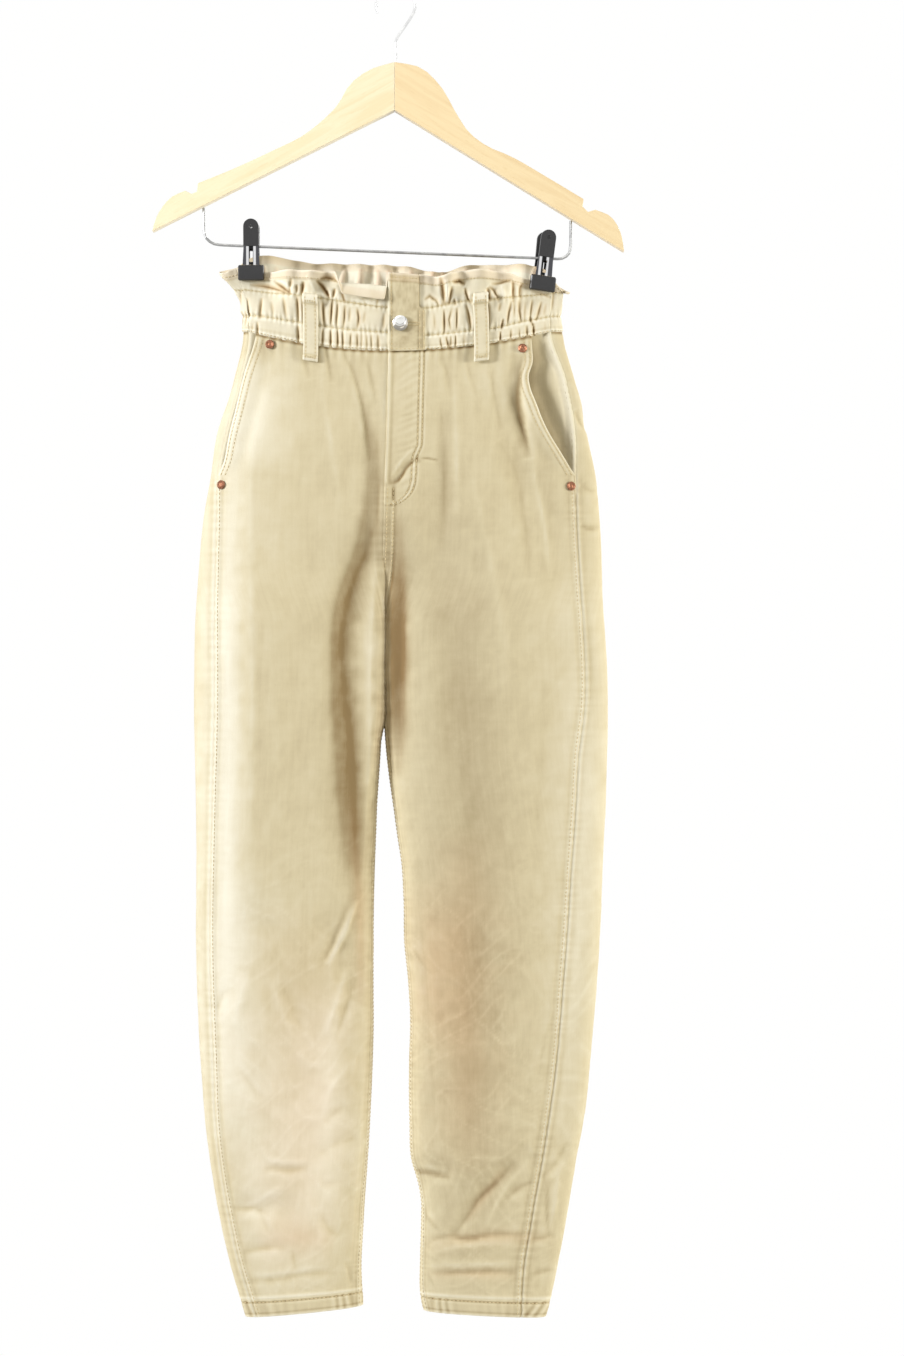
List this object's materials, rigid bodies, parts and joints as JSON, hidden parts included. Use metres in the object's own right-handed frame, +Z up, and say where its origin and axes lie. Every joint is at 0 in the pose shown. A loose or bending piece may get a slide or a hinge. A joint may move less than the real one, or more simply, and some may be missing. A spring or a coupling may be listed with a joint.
{
  "type": "jeans on a wooden clip hanger",
  "caption": "Tapered balloon jeans with a gathered paper-bag waist, clipped by the ruffle to a wooden hanger with a wire hook, a trouser bar and sliding clips.",
  "frame": {"origin": "inside top of the hanger's hook, where a rail carries it", "axes": "+X to the right seen from the front, +Y to the back, +Z up"},
  "size_m": [0.4439, 0.0798, 1.2558],
  "materials": {
    "cloth": "matt sand coloured twill",
    "zip_tape": "matt",
    "button_metal": "satin",
    "rivet_metal": "satin copper colour",
    "wood_left": "clear lacquer, pale",
    "wood_right": "clear lacquer, a little darker",
    "wire": "bright",
    "clip_plastic": "black",
    "clip_metal": "bright"
  },
  "bodies": {
    "root": {"front_left_upper": "cloth", "front_left_middle": "cloth", "front_left_lower": "cloth", "front_right_upper": "cloth", "front_right_middle": "cloth", "front_right_lower": "cloth", "back_left_upper": "cloth", "back_left_middle": "cloth", "back_left_lower": "cloth", "back_right_upper": "cloth", "back_right_middle": "cloth", "back_right_lower": "cloth", "pocket_left": "cloth", "pocket_right": "cloth", "zip": "zip_tape", "waistband_front_left": "cloth", "waistband_front_right": "cloth", "waistband_back": "cloth", "waist_tab": "cloth", "belt_loop_front_left": "cloth", "belt_loop_front_right": "cloth", "belt_loop_back_left": "cloth", "belt_loop_back_centre": "cloth", "belt_loop_back_right": "cloth", "button": "button_metal", "rivet_left_top": "rivet_metal", "rivet_left_low": "rivet_metal", "rivet_right_top": "rivet_metal", "rivet_right_low": "rivet_metal", "hanger_arm_left": "wood_left", "hanger_arm_right": "wood_right", "hook": "wire", "trouser_bar": "wire", "clip_left_jaw_front": "clip_plastic", "clip_left_jaw_back": "clip_plastic", "clip_left_leaf_front": "clip_metal", "clip_left_leaf_back": "clip_metal", "clip_left_grip_front": "clip_plastic", "clip_left_grip_back": "clip_plastic", "clip_left_spring": "clip_metal", "clip_right_jaw_front": "clip_plastic", "clip_right_jaw_back": "clip_plastic", "clip_right_leaf_front": "clip_metal", "clip_right_leaf_back": "clip_metal", "clip_right_grip_front": "clip_plastic", "clip_right_grip_back": "clip_plastic", "clip_right_spring": "clip_metal"}
  },
  "joints": []
}
